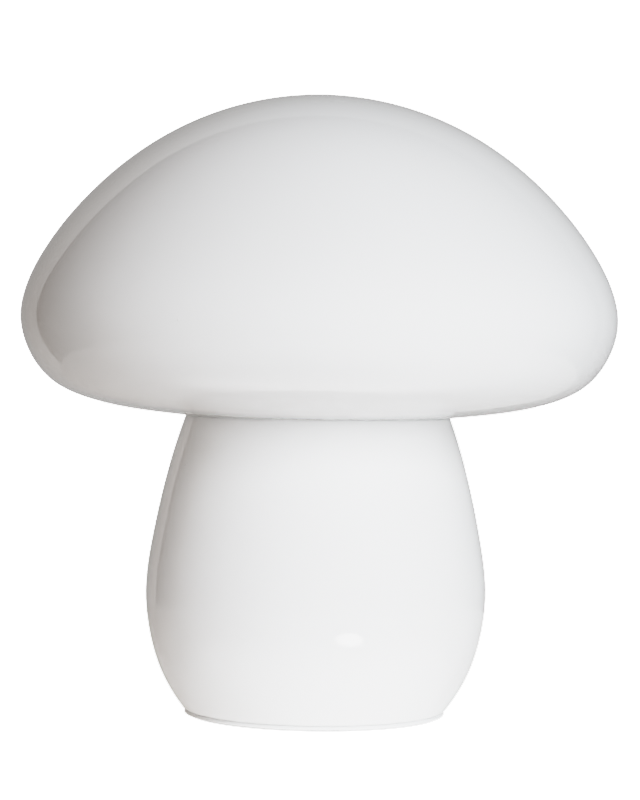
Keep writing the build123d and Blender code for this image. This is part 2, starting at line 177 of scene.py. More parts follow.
def buildDotGroup():
    # sparse round dots: seeds in glass, pores in foam, specks in ceramic
    tree, given, out = newGroup("sparseDots", "ShaderNodeTree",
                                [("Scale", "NodeSocketFloat", 80.0), ("Dot Size", "NodeSocketFloat", 0.1),
                                 ("Share", "NodeSocketFloat", 1.0)],
                                [("Mask", "NodeSocketFloat"), ("Dome", "NodeSocketFloat")])
    smallest = 0.5  # a dot's size is this to 1.5 times the dot size
    place = objectPlace(tree)
    cells = addNode(tree, "ShaderNodeTexVoronoi")
    joinUp(tree, place, cells.inputs["Vector"])
    joinUp(tree, given["Scale"], cells.inputs["Scale"])
    pick = splitOf(tree, cells.outputs["Color"])
    chosen = mathOf(tree, "LESS_THAN", pick["X"], given["Share"])
    size = product(tree, given["Dot Size"], mathOf(tree, "ADD", pick["Y"], smallest))
    depth = mathOf(tree, "DIVIDE", cells.outputs["Distance"], size)
    inside = opposite(tree, mathOf(tree, "MINIMUM", depth, 1.0))
    dome = product(tree, inside, chosen)
    joinUp(tree, dome, out["Dome"])
    joinUp(tree, mathOf(tree, "GREATER_THAN", dome, 0.0), out["Mask"])
    return tree


def buildGrainGroup():
    # fine unevenness of a moulded, coated or cast face; Stretch draws it out along one axis
    tree, given, out = newGroup("fineGrain", "ShaderNodeTree",
                                [("Scale", "NodeSocketFloat", 600.0),
                                 ("Stretch", "NodeSocketVector", (1, 1, 1))],
                                [("Height", "NodeSocketFloat")])
    stretched = vectorOf(tree, "MULTIPLY", objectPlace(tree), given["Stretch"])
    noise = addNode(tree, "ShaderNodeTexNoise")
    noise.inputs["Detail"].default_value = 3.0
    joinUp(tree, stretched, noise.inputs["Vector"])
    joinUp(tree, given["Scale"], noise.inputs["Scale"])
    joinUp(tree, noise.outputs["Fac"], out["Height"])
    return tree


slowCloud = buildCloudGroup()
sparseDots = buildDotGroup()
fineGrain = buildGrainGroup()


def newFinish(name, colour, roughness, **sockets):
    material = bpy.data.materials.new(name)
    material.use_nodes = True
    shader = material.node_tree.nodes["Principled BSDF"]
    setInputs(shader, {"Base_Color": (*colour, 1.0), "Roughness": roughness, **sockets})
    return material, material.node_tree, shader


def placeGroup(tree, group, **values):
    node = addNode(tree, "ShaderNodeGroup", node_tree=group)
    setInputs(node, values)
    return node


def tint(tree, shader, mask, colour, otherColour):
    # Base Color drifts from colour to otherColour with the mask
    joinUp(tree, mixOf(tree, mask, colour, otherColour), shader.inputs["Base Color"])


def relief(tree, shader, height, distance, strength, below=None):
    # bumps of that depth; below is a coarser relief that stays under them
    bump = addNode(tree, "ShaderNodeBump")
    setInputs(bump, {"Strength": strength, "Distance": distance})
    joinUp(tree, height, bump.inputs["Height"])
    if below:
        joinUp(tree, below.outputs["Normal"], bump.inputs["Normal"])
    joinUp(tree, bump.outputs["Normal"], shader.inputs["Normal"])
    return bump


def roughen(tree, shader, mask, low, high):
    span = addNode(tree, "ShaderNodeMapRange")
    setInputs(span, {"To_Min": low, "To_Max": high})
    joinUp(tree, mask, span.inputs["Value"])
    joinUp(tree, span.outputs["Result"], shader.inputs["Roughness"])


def makeOpalGlass():
    look = {"thick": (0.905, 0.903, 0.898), "thin": (0.885, 0.880, 0.872), "gloss": 0.012, "filmed": 0.024,
            "waver": 0.035 * mm, "seedScale": 62.0, "seedSize": 0.035, "seedShare": 0.16, "seedRise": 0.25 * mm}
    material, tree, shader = newFinish("opalGlass", look["thick"], look["gloss"], IOR=1.5)
    cloud = placeGroup(tree, slowCloud, Scale=9.0, Detail=1.0, Low=0.3, High=0.7)
    tint(tree, shader, cloud.outputs["Mask"], look["thick"], look["thin"])
    swell = placeGroup(tree, slowCloud, Scale=55.0, Detail=0.0, Low=0.0, High=1.0)
    wave = relief(tree, shader, swell.outputs["Mask"], look["waver"], strength=0.6)
    seeds = placeGroup(tree, sparseDots, Scale=look["seedScale"], Dot_Size=look["seedSize"],
                       Share=look["seedShare"])
    relief(tree, shader, seeds.outputs["Dome"], look["seedRise"], strength=1.0, below=wave)
    film = placeGroup(tree, slowCloud, Scale=22.0, Detail=4.0, Low=0.35, High=0.75)
    roughen(tree, shader, film.outputs["Mask"], look["gloss"], look["filmed"])
    return material


def makeSilicone():
    look = {"clear": (0.95, 0.95, 0.945), "hazy": (0.90, 0.90, 0.895), "roughness": 0.28, "through": 0.15,
            "skin": 0.02 * mm}
    material, tree, shader = newFinish("clearSilicone", look["clear"], look["roughness"], IOR=1.41,
                                       Transmission_Weight=look["through"])
    haze = placeGroup(tree, slowCloud, Scale=140.0, Detail=3.0, Low=0.3, High=0.7)
    tint(tree, shader, haze.outputs["Mask"], look["clear"], look["hazy"])
    skin = placeGroup(tree, fineGrain, Scale=900.0)
    relief(tree, shader, skin.outputs["Height"], look["skin"], strength=0.5)
    return material


def makeFootFoam():
    look = {"foam": (0.80, 0.80, 0.79), "pore": (0.52, 0.52, 0.51), "roughness": 0.9, "poreDepth": 0.15 * mm}
    material, tree, shader = newFinish("footFoam", look["foam"], look["roughness"])
    pores = placeGroup(tree, sparseDots, Scale=1400.0, Dot_Size=0.45, Share=0.7)
    # painted shade: each pore is coloured darker to stand in for the shade inside it; the relief below also
    # dents it
    tint(tree, shader, pores.outputs["Mask"], look["foam"], look["pore"])
    relief(tree, shader, pores.outputs["Dome"], -look["poreDepth"], strength=0.8)
    return material


def makeWhiteSteel():
    look = {"coat": (0.92, 0.92, 0.915), "shade": (0.88, 0.88, 0.875), "roughness": 0.36,
            "smooth": 0.3, "dull": 0.42, "peel": 0.06 * mm}
    material, tree, shader = newFinish("whiteSteel", look["coat"], look["roughness"])
    drift = placeGroup(tree, slowCloud, Scale=30.0, Detail=3.0, Low=0.35, High=0.75)
    tint(tree, shader, drift.outputs["Mask"], look["coat"], look["shade"])
    peel = placeGroup(tree, fineGrain, Scale=420.0)
    relief(tree, shader, peel.outputs["Height"], look["peel"], strength=0.7)
    roughen(tree, shader, drift.outputs["Mask"], look["smooth"], look["dull"])
    return material


metals = {
    "zincSteel": {"bright": (0.76, 0.76, 0.75), "dull": (0.64, 0.64, 0.63), "roughness": 0.3},
    "nickelBrass": {"bright": (0.88, 0.865, 0.83), "dull": (0.78, 0.765, 0.73), "roughness": 0.22,
                    "grain": (1, 1, 8), "scale": 90.0, "depth": 0.006 * mm},
    "contactBrass": {"bright": (0.83, 0.64, 0.32), "dull": (0.64, 0.47, 0.22), "roughness": 0.26},
    "solder": {"bright": (0.7, 0.7, 0.69), "dull": (0.52, 0.52, 0.52), "roughness": 0.3,
               "grain": (1, 1, 1), "scale": 500.0}}


def makeMetal(name):
    # plated or rolled metal with fine draw lines and duller patches
    look = {"grain": (1, 1, 30), "scale": 120.0, "depth": 0.02 * mm, "polished": 0.8, "worn": 1.5}
    look.update(metals[name])
    material, tree, shader = newFinish(name, look["bright"], look["roughness"], Metallic=1.0)
    drift = placeGroup(tree, slowCloud, Scale=90.0, Detail=4.0, Low=0.35, High=0.7)
    tint(tree, shader, drift.outputs["Mask"], look["bright"], look["dull"])
    lines = placeGroup(tree, fineGrain, Scale=look["scale"], Stretch=look["grain"])
    relief(tree, shader, lines.outputs["Height"], look["depth"], strength=0.6)
    roughen(tree, shader, drift.outputs["Mask"], look["roughness"] * look["polished"],
            look["roughness"] * look["worn"])
    return material


def makeHolderPlastic():
    look = {"body": (0.83, 0.82, 0.79), "worn": (0.76, 0.745, 0.71), "roughness": 0.32,
            "smooth": 0.27, "dull": 0.4, "skin": 0.015 * mm}
    material, tree, shader = newFinish("holderPlastic", look["body"], look["roughness"], IOR=1.55)
    drift = placeGroup(tree, slowCloud, Scale=60.0, Detail=3.0, Low=0.4, High=0.8)
    tint(tree, shader, drift.outputs["Mask"], look["body"], look["worn"])
    skin = placeGroup(tree, fineGrain, Scale=1500.0)
    relief(tree, shader, skin.outputs["Height"], look["skin"], strength=0.5)
    roughen(tree, shader, drift.outputs["Mask"], look["smooth"], look["dull"])
    return material


def makeCeramic():
    look = {"body": (0.84, 0.82, 0.77), "speck": (0.55, 0.5, 0.42), "roughness": 0.55, "skin": 0.05 * mm}
    material, tree, shader = newFinish("holderCeramic", look["body"], look["roughness"])
    specks = placeGroup(tree, sparseDots, Scale=900.0, Dot_Size=0.3, Share=0.25)
    tint(tree, shader, specks.outputs["Mask"], look["body"], look["speck"])
    skin = placeGroup(tree, fineGrain, Scale=1100.0)
    relief(tree, shader, skin.outputs["Height"], look["skin"], strength=0.6)
    return material


def makeBulbGlass():
    look = {"clear": (1.0, 1.0, 1.0), "roughness": 0.0, "waver": 0.05 * mm}
    material, tree, shader = newFinish("bulbGlass", look["clear"], look["roughness"], IOR=1.48,
                                       Transmission_Weight=1.0)
    swell = placeGroup(tree, slowCloud, Scale=40.0, Detail=0.0, Low=0.0, High=1.0)
    relief(tree, shader, swell.outputs["Mask"], look["waver"], strength=0.5)
    return material


def makeDarkGlass():
    look = {"body": (0.02, 0.02, 0.022), "haze": (0.05, 0.05, 0.05), "roughness": 0.12,
            "smooth": 0.1, "dull": 0.3}
    material, tree, shader = newFinish("darkGlass", look["body"], look["roughness"])
    haze = placeGroup(tree, slowCloud, Scale=200.0, Detail=4.0, Low=0.4, High=0.8)
    tint(tree, shader, haze.outputs["Mask"], look["body"], look["haze"])
    roughen(tree, shader, haze.outputs["Mask"], look["smooth"], look["dull"])
    return material


def makePhosphor():
    look = {"coat": (0.93, 0.66, 0.16), "deep": (0.85, 0.52, 0.08), "roughness": 0.42, "lumps": 0.1 * mm}
    material, tree, shader = newFinish("filamentPhosphor", look["coat"], look["roughness"])
    lumps = placeGroup(tree, slowCloud, Scale=900.0, Detail=2.0, Low=0.3, High=0.7)
    tint(tree, shader, lumps.outputs["Mask"], look["coat"], look["deep"])
    relief(tree, shader, lumps.outputs["Mask"], look["lumps"], strength=0.7)
    return material


finishes = {
    "opal_glass": makeOpalGlass(),
    "clear_silicone": makeSilicone(),
    "foot_foam": makeFootFoam(),
    "white_steel": makeWhiteSteel(),
    "zinc_steel": makeMetal("zincSteel"),
    "holder_plastic": makeHolderPlastic(),
    "holder_ceramic": makeCeramic(),
    "nickel_brass": makeMetal("nickelBrass"),
    "contact_brass": makeMetal("contactBrass"),
    "bulb_glass": makeBulbGlass(),
    "dark_glass": makeDarkGlass(),
    "solder": makeMetal("solder"),
    "filament_phosphor": makePhosphor(),
}
print("stage: finishes made,", len(finishes))


def onCircle(tree, radius, angle, height=0.0):
    # the place at that angle round the lamp's axis
    spot = addNode(tree, "ShaderNodeCombineXYZ")
    joinUp(tree, product(tree, radius, mathOf(tree, "COSINE", angle)), spot.inputs["X"])
    joinUp(tree, product(tree, radius, mathOf(tree, "SINE", angle)), spot.inputs["Y"])
    feed(tree, spot.inputs["Z"], height)
    return spot.outputs["Vector"]


def upVector(tree, height):
    spot = addNode(tree, "ShaderNodeCombineXYZ")
    joinUp(tree, height, spot.inputs["Z"])
    return spot.outputs["Vector"]


def endTree(tree, geometry, given, out):
    # plain mesh, no instances, with the piece's material
    real = addNode(tree, "GeometryNodeRealizeInstances")
    joinUp(tree, geometry, real.inputs["Geometry"])
    finish = addNode(tree, "GeometryNodeSetMaterial")
    joinUp(tree, real.outputs["Geometry"], finish.inputs["Geometry"])
    joinUp(tree, given["Material"], finish.inputs["Material"])
    joinUp(tree, finish.outputs["Geometry"], out["Geometry"])
    return tree


def buildTurningTree():
    # turns the piece's profile round the lamp's axis; a rolled thread and a hand-blown waver are optional
    tree, given, out = newGroup(
        "turnedPiece", "GeometryNodeTree",
        [("Geometry", "NodeSocketGeometry", None), ("Segments", "NodeSocketInt", 96),
         ("Waver", "NodeSocketFloat", 0.0), ("Waver Size", "NodeSocketFloat", 0.05),
         ("Waver Seed", "NodeSocketFloat", 1.0), ("Waver Centre", "NodeSocketFloat", 0.0),
         ("Thread Height", "NodeSocketFloat", 0.0), ("Thread Pitch", "NodeSocketFloat", 0.004),
         ("Thread Start", "NodeSocketFloat", 0.0), ("Thread End", "NodeSocketFloat", 1.0),
         ("Material", "NodeSocketMaterial", None)],
        [("Geometry", "NodeSocketGeometry")])
    runOut = 0.6  # turns over which the thread rises and fades
    waverDetail = 0.6

    # a flat grid, one row for each point of the profile, is rolled up
    size = addNode(tree, "GeometryNodeAttributeDomainSize", component="CURVE")
    joinUp(tree, given["Geometry"], size.inputs["Geometry"])
    rings = size.outputs["Point Count"]
    sheet = addNode(tree, "GeometryNodeMeshGrid")
    setInputs(sheet, {"Size_X": 1.0, "Size_Y": 1.0})
    joinUp(tree, mathOf(tree, "ADD", given["Segments"], 1.0), sheet.inputs["Vertices X"])
    joinUp(tree, rings, sheet.inputs["Vertices Y"])
    spot = splitOf(tree, addNode(tree, "GeometryNodeInputPosition").outputs["Position"])
    angle = product(tree, mathOf(tree, "ADD", spot["X"], 0.5), 2 * math.pi)
    along = product(tree, mathOf(tree, "ADD", spot["Y"], 0.5), mathOf(tree, "SUBTRACT", rings, 1.0))

    pick = addNode(tree, "GeometryNodeSampleIndex", data_type="FLOAT_VECTOR", domain="POINT")
    joinUp(tree, given["Geometry"], pick.inputs["Geometry"])
    joinUp(tree, addNode(tree, "GeometryNodeInputPosition").outputs["Position"], pick.inputs["Value"])
    joinUp(tree, mathOf(tree, "ROUND", along), pick.inputs["Index"])
    edge = splitOf(tree, pick.outputs["Value"])
    radius, height = edge["X"], edge["Z"]

    # rolled thread: the wall swells and shrinks along a right-hand screw between start and end
    pitch = given["Thread Pitch"]
    turnsUp = mathOf(tree, "DIVIDE", mathOf(tree, "SUBTRACT", height, given["Thread Start"]), pitch)
    turnsLeft = mathOf(tree, "DIVIDE", mathOf(tree, "SUBTRACT", given["Thread End"], height), pitch)
    swing = mathOf(tree, "COSINE", mathOf(tree, "SUBTRACT", product(tree, turnsUp, 2 * math.pi), angle))
    fade = product(tree, softStep(tree, turnsUp, -runOut, 0.0), softStep(tree, turnsLeft, 0.0, runOut))
    ridge = product(tree, product(tree, swing, fade), given["Thread Height"])
    radius = mathOf(tree, "ADD", radius, ridge)
    placed = addNode(tree, "GeometryNodeSetPosition")
    joinUp(tree, sheet.outputs["Mesh"], placed.inputs["Geometry"])
    joinUp(tree, onCircle(tree, radius, angle, height), placed.inputs["Position"])

    # hand-blown waver: the wall moves towards the centre, never away from it
    here = addNode(tree, "GeometryNodeInputPosition").outputs["Position"]
    noise = addNode(tree, "ShaderNodeTexNoise", noise_dimensions="4D")
    noise.inputs["Detail"].default_value = waverDetail
    joinUp(tree, here, noise.inputs["Vector"])
    joinUp(tree, given["Waver Seed"], noise.inputs["W"])
    joinUp(tree, mathOf(tree, "DIVIDE", 1.0, given["Waver Size"]), noise.inputs["Scale"])
    centre = upVector(tree, given["Waver Centre"])
    outward = vectorOf(tree, "NORMALIZE", vectorOf(tree, "SUBTRACT", here, centre))
    inward = product(tree, mathOf(tree, "SUBTRACT", noise.outputs["Fac"], 1.0), given["Waver"])
    shift = addNode(tree, "ShaderNodeVectorMath", operation="SCALE")
    joinUp(tree, outward, shift.inputs[0])
    joinUp(tree, inward, shift.inputs["Scale"])
    blown = addNode(tree, "GeometryNodeSetPosition")
    joinUp(tree, placed.outputs["Geometry"], blown.inputs["Geometry"])
    joinUp(tree, shift.outputs["Vector"], blown.inputs["Offset"])

    closed = addNode(tree, "GeometryNodeMergeByDistance")
    closed.inputs["Distance"].default_value = weld
    joinUp(tree, blown.outputs["Geometry"], closed.inputs["Geometry"])
    smooth = addNode(tree, "GeometryNodeSetShadeSmooth")
    joinUp(tree, closed.outputs["Geometry"], smooth.inputs["Geometry"])
    return endTree(tree, smooth.outputs["Geometry"], given, out)


def buildRingTree():
    # sets copies of the given piece in a ring round the lamp's axis
    tree, given, out = newGroup(
        "ringOfCopies", "GeometryNodeTree",
        [("Geometry", "NodeSocketGeometry", None), ("Count", "NodeSocketInt", 4),
         ("Radius", "NodeSocketFloat", 0.01), ("First Angle", "NodeSocketFloat", 0.0),
         ("Material", "NodeSocketMaterial", None)],
        [("Geometry", "NodeSocketGeometry")])
    share = mathOf(tree, "DIVIDE", addNode(tree, "GeometryNodeInputIndex").outputs[0], given["Count"])
    angle = mathOf(tree, "MULTIPLY_ADD", share, 2 * math.pi, given["First Angle"])
    places = addNode(tree, "GeometryNodePoints")
    joinUp(tree, given["Count"], places.inputs["Count"])
    joinUp(tree, onCircle(tree, given["Radius"], angle), places.inputs["Position"])
    copies = addNode(tree, "GeometryNodeInstanceOnPoints")
    joinUp(tree, places.outputs[0], copies.inputs["Points"])
    joinUp(tree, given["Geometry"], copies.inputs["Instance"])
    joinUp(tree, upVector(tree, angle), copies.inputs["Rotation"])
    return endTree(tree, copies.outputs["Instances"], given, out)


turnedPiece = buildTurningTree()
ringOfCopies = buildRingTree()


def addObject(name, data):
    piece = bpy.data.objects.new(name, data)
    scene.collection.objects.link(piece)
    return piece


def meshOf(shape, name):
    mesh = bpy.data.meshes.new(name)
    shape.to_mesh(mesh)
    shape.free()
    return mesh


def plainMesh(piece):
    # what the piece's modifiers make of it
    depsgraph = bpy.context.evaluated_depsgraph_get()
    return bpy.data.meshes.new_from_object(piece.evaluated_get(depsgraph), depsgraph=depsgraph)


def runTree(holder, tree, name, finish, values):
    # runs the tree on the holder and keeps the result as a plain mesh piece
    modifier = holder.modifiers.new("build", "NODES")
    modifier.node_group = tree
    sockets = {s.name: s.identifier for s in tree.interface.items_tree if s.in_out == "INPUT"}
    for label, value in {"Material": finishes[finish], **values}.items():
        modifier[sockets[label.replace("_", " ")]] = value
    mesh = plainMesh(holder)
    bpy.data.objects.remove(holder)
    mesh.name = name
    return addObject(name, mesh)


def faceOutward(mesh):
    shape = bmesh.new()
    shape.from_mesh(mesh)
    bmesh.ops.recalc_face_normals(shape, faces=shape.faces)
    if shape.calc_volume(signed=True) < 0:
        bmesh.ops.reverse_faces(shape, faces=shape.faces)
    shape.to_mesh(mesh)
    shape.free()


def turnPiece(name, profile, finish, segments, **values):
    # profile: (radius, height) points in metres
    curve = bpy.data.curves.new(name, "CURVE")
    curve.dimensions = "3D"
    line = curve.splines.new("POLY")
    line.points.add(len(profile) - 1)
    for point, (r, z) in zip(line.points, profile):
        point.co = (r, 0.0, z, 1.0)
    holder = addObject(name + "Profile", curve)
    piece = runTree(holder, turnedPiece, name, finish, {"Segments": segments, **values})
    faceOutward(piece.data)
    return piece


def seat(piece, body, finish, *nodes):
    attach(piece, body)
    if nodes:
        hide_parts(*nodes)
    return piece


def fairCurve(points, startWay, endWay, count, perPoint=40):
    # cubic curve through all points with the given directions at both ends, evenly spaced in length
    spots = np.array(points, float)
    steps = np.hypot(*np.diff(spots, axis=0).T)
    knots = np.concatenate([[0], np.cumsum(steps)])
    n = len(spots)
    table, right = np.zeros((n, n)), np.zeros((n, 2))
    table[0, 0] = table[-1, -1] = 1.0
    right[0] = np.array(startWay) / np.hypot(*startWay)
    right[-1] = np.array(endWay) / np.hypot(*endWay)
    for i in range(1, n - 1):
        before, after = steps[i - 1], steps[i]
        table[i, i - 1 : i + 2] = after, 2 * (before + after), before
        right[i] = 3 * (after / before * (spots[i] - spots[i - 1])
                        + before / after * (spots[i + 1] - spots[i]))
    slopes = np.linalg.solve(table, right)

    def at(t):
        i = min(max(int(np.searchsorted(knots, t)) - 1, 0), n - 2)
        h = steps[i]
        s = (t - knots[i]) / h
        return ((1 + 2 * s) * (1 - s) ** 2 * spots[i] + s * (1 - s) ** 2 * h * slopes[i]
                + s * s * (3 - 2 * s) * spots[i + 1] + s * s * (s - 1) * h * slopes[i + 1])

    fine = np.array([at(t) for t in np.linspace(0, knots[-1], perPoint * n)])
    lengths = np.concatenate([[0], np.cumsum(np.hypot(*np.diff(fine, axis=0).T))])
    want = np.linspace(0, lengths[-1], count)
    return np.column_stack([np.interp(want, lengths, fine[:, k]) for k in (0, 1)])


def besideCurve(line, distance):
    # the same line moved to its right
    way = np.gradient(line, axis=0)
    way /= np.hypot(way[:, 0], way[:, 1])[:, None]
    return line + distance * np.column_stack([way[:, 1], -way[:, 0]])


def between(start, end, shares):
    return [(start[0] + (end[0] - start[0]) * r, start[1] + (end[1] - start[1]) * z) for r, z in shares]


def roundNose(first, last, count):
    # half circle from the end of one line to the end of the other, bulging to the left of first-to-last
    first, last = np.array(first), np.array(last)
    middle, arm = (first + last) / 2, (first - last) / 2
    side = np.array([arm[1], -arm[0]])
    turns = np.linspace(0, math.pi, count)[1:-1]
    return np.array([middle + arm * math.cos(t) + side * math.sin(t) for t in turns])


def nearCorner(corner, steps, size=1.0):
    # points beside the corner; each step is (outwards, up) in sizes
    return [(corner[0] + out * size, corner[1] + up * size) for out, up in steps]


def makeGlassCap():
    cap = {"radius": 150 * mm, "top": 312 * mm, "widest": 199.7 * mm, "wall": 3.0 * mm, "lip": 150.8 * mm,
           "lipMiddle": 68.56 * mm, "bellySlope": 0.10, "waver": 0.22 * mm, "waverSize": 75 * mm, "seed": 4.0,
           "segments": 256, "points": 150, "lipPoints": 14,
           "crown": ((0.3636, 0.911), (0.593, 0.751), (0.7925, 0.519), (0.9245, 0.288), (0.9825, 0.1275)),
           "belly": ((0.958, 0.679), (0.8165, 0.352), (0.539, 0.137))}
    top, widest, lip = (0, cap["top"]), (cap["radius"], cap["widest"]), (cap["lipMiddle"], cap["lip"])
    points = [top] + between((0, cap["widest"]), (cap["radius"], cap["top"]), cap["crown"])
    points += [widest] + between(lip, widest, cap["belly"]) + [lip]
    skin = fairCurve(points, (1, 0), (-1, -cap["bellySlope"]), cap["points"])
    lining = besideCurve(skin, cap["wall"])
    lining[0] = (0, cap["top"] - cap["wall"])
    nose = roundNose(skin[-1], lining[-1], cap["lipPoints"])
    profile = np.vstack([skin, nose, lining[::-1][::2], lining[:1]])
    piece = turnPiece("glassCap", profile, "opal_glass", cap["segments"], Waver=cap["waver"],
                      Waver_Size=cap["waverSize"], Waver_Seed=cap["seed"], Waver_Centre=cap["widest"])
    return seat(piece, "cap", "opal_glass", "glass_cap")


def makeGlassStem():
    stem = {"foot": 65.7 * mm, "footZ": 2.6 * mm, "footSlope": 0.786, "bulge": 85.7 * mm, "bulgeZ": 61.8 * mm,
            "neck": 66.5 * mm, "neckZ": 150.8 * mm, "neckSlope": 0.3627, "rim": 12.4 * mm, "wall": 3.5 * mm,
            "footShape": ((0.55, 0.294), (0.8775, 0.632)), "neckShape": ((0.168, 0.317), (0.506, 0.654)),
            "waver": 0.16 * mm, "waverSize": 60 * mm, "seed": 9.0, "segments": 224, "points": 110,
            "conePoints": 8, "softEdge": 0.6 * mm,
            "rimOutside": ((-0.3, -0.25), (-1.0, 0.0)), "rimInside": ((1.0, 0.0), (0.2, -0.25)),
            "footInside": ((0.5, 0.1), (1.2, 0.0)), "footOutside": ((-1.0, 0.0), (-0.2, 0.1)),
            "cordHole": {"radius": 4.95 * mm, "segments": 72, "length": 40 * mm}}
    foot, bulge = (stem["foot"], stem["footZ"]), (stem["bulge"], stem["bulgeZ"])
    neck = (stem["neck"], stem["neckZ"])
    points = [foot] + between(foot, bulge, stem["footShape"])
    points += [bulge] + between(bulge, neck, stem["neckShape"]) + [neck]
    skin = fairCurve(points, (stem["footSlope"], 1), (-stem["neckSlope"], 1), stem["points"])
    lining = besideCurve(skin, -stem["wall"])
    slope = math.hypot(1, stem["neckSlope"])
    rimZ, footZ, edge = stem["neckZ"] + stem["rim"], stem["footZ"], stem["softEdge"]
    rimOut = stem["neck"] - stem["rim"] * stem["neckSlope"]
    rimIn = rimOut - stem["wall"] * slope
    footIn = lining[0][0] - (lining[0][1] - footZ) * stem["footSlope"]
    cone = np.linspace(skin[-1], (rimOut + edge * stem["neckSlope"], rimZ - edge), stem["conePoints"])[1:]
    rim = nearCorner((rimOut, rimZ), stem["rimOutside"], edge)
    rim += nearCorner((rimIn, rimZ), stem["rimInside"], edge)
    rim += [(rimIn + edge * stem["neckSlope"], rimZ - edge)]
    bottom = [(footIn + edge * stem["footSlope"], footZ + edge)]
    bottom += nearCorner((footIn, footZ), stem["footInside"], edge)
    bottom += nearCorner((skin[0][0], footZ), stem["footOutside"], edge)
    outside = skin[1:]
    profile = np.vstack([outside, cone, rim, lining[::-1][::2], bottom, outside[:1]])
    piece = turnPiece("glassStem", profile, "opal_glass", stem["segments"], Waver=stem["waver"],
                      Waver_Size=stem["waverSize"], Waver_Seed=stem["seed"], Waver_Centre=stem["bulgeZ"])
    drillCordHole(piece, stem["cordHole"])
    return seat(piece, "base", "opal_glass", "glass_stem")


def drillCordHole(piece, hole):
    # the inlet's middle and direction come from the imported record
    inlet = next(mount for mount in frame["record"]["mounts"] if mount["name"] == "cord_inlet")
    turn = Vector(inlet["axis"]).to_track_quat("Z", "Y").to_matrix().to_4x4()
    shape = bmesh.new()
    bmesh.ops.create_cone(shape, cap_ends=True, segments=hole["segments"], radius1=hole["radius"],
                          radius2=hole["radius"], depth=hole["length"],
                          matrix=Matrix.Translation(Vector(inlet["pos_m"])) @ turn)
    drill = addObject("drill", meshOf(shape, "drill"))
    cut = piece.modifiers.new("hole", "BOOLEAN")
    cut.operation, cut.solver, cut.object = "DIFFERENCE", "EXACT", drill
    drilled = plainMesh(piece)
    piece.modifiers.clear()
    piece.data = drilled
    drilled.materials.clear()
    drilled.materials.append(finishes["opal_glass"])
    bpy.data.objects.remove(drill)


def makeBulbGlobe():
    bulb = {"neck": 12.6 * mm, "neckZ": 182.55 * mm, "radius": 30.0 * mm, "middle": 230.4 * mm,
            "shoulder": 38.0, "wall": 0.8 * mm, "waver": 0.06 * mm, "segments": 128, "flankPoints": 28,
            "crownPoints": 44}
    angle = math.radians(bulb["shoulder"])
    radius, middle = bulb["radius"], bulb["middle"]
    shoulder = (radius * math.cos(angle), middle - radius * math.sin(angle))
    flank = fairCurve([(bulb["neck"], bulb["neckZ"]), shoulder], (0, 1), (math.sin(angle), math.cos(angle)),
                      bulb["flankPoints"])
    turns = np.linspace(-angle, math.pi / 2, bulb["crownPoints"])[1:]
    crown = np.column_stack([radius * np.cos(turns), middle + radius * np.sin(turns)])
    skin = np.vstack([flank, crown])
    lining = besideCurve(skin, -bulb["wall"])
    lining[-1] = (0, middle + radius - bulb["wall"])
    lining[:, 0] = np.maximum(lining[:, 0], 0)
    piece = turnPiece("bulbGlobe", np.vstack([skin[::-1], lining]), "bulb_glass", bulb["segments"],
                      Waver=bulb["waver"], Waver_Centre=middle)
    return seat(piece, "bulb", "bulb_glass", "bulb_envelope")


def makeBulbThread():
    # rolled sheet, in mm: thread, plain collar and a lip turned in over the insulator
    cap = {"mean": 12.55, "wall": 0.35, "foot": 160.5, "threadFoot": 0.6, "threadTop": 177.3, "collar": 13.2,
           "collarFoot": 178.5, "top": 182.5, "turnIn": 10.95, "lip": ((0, 0.05),),
           "footRoll": ((-0.75, 0), (-0.2, 0.2)), "flare": ((0.15, 0.5),),
           "shoulder": ((-0.12, -0.15), (0, 0.3)), "rim": ((0, -0.3), (-0.1, -0.08), (-0.45, 0), (-0.5, -0.2)),
           "lining": ((-0.5, 0.4),), "throat": ((0, 0.4),), "lipInside": ((0, 0.4),),
           "threadHeight": 0.5, "pitch": 3.629, "start": 162.13, "turns": 3.75, "rings": 96, "segments": 120}
    outer, inner, foot, top = cap["mean"], cap["mean"] - cap["wall"], cap["foot"], cap["top"]
    lip, shoulder = (cap["turnIn"], foot), (cap["collar"], cap["collarFoot"])
    rise = np.linspace(foot + cap["threadFoot"], cap["threadTop"], cap["rings"])
    sheet = nearCorner(lip, cap["lip"]) + nearCorner((outer, foot), cap["footRoll"])
    sheet += [(outer, z) for z in rise] + nearCorner((outer, cap["threadTop"]), cap["flare"])
    sheet += nearCorner(shoulder, cap["shoulder"]) + nearCorner((cap["collar"], top), cap["rim"])
    sheet += nearCorner(shoulder, cap["lining"]) + nearCorner((inner, cap["threadTop"]), cap["throat"])
    sheet += [(inner, z) for z in rise[::-2]] + nearCorner(lip, cap["lipInside"]) + sheet[:1]
    pitch, start = cap["pitch"] * mm, cap["start"] * mm
    piece = turnPiece("bulbThread", np.array(sheet) * mm, "nickel_brass", cap["segments"],
                      Thread_Height=cap["threadHeight"] * mm, Thread_Pitch=pitch, Thread_Start=start,
                      Thread_End=start + cap["turns"] * pitch)
    return seat(piece, "bulb", "nickel_brass", "bulb_screw_cap")


# rounded ends of the bars: longest end and first bend as shares, and the thinner radii there
barEnd = {"longest": 0.3, "bend": 0.25, "sizes": [0.45, 0.78], "sides": 14}


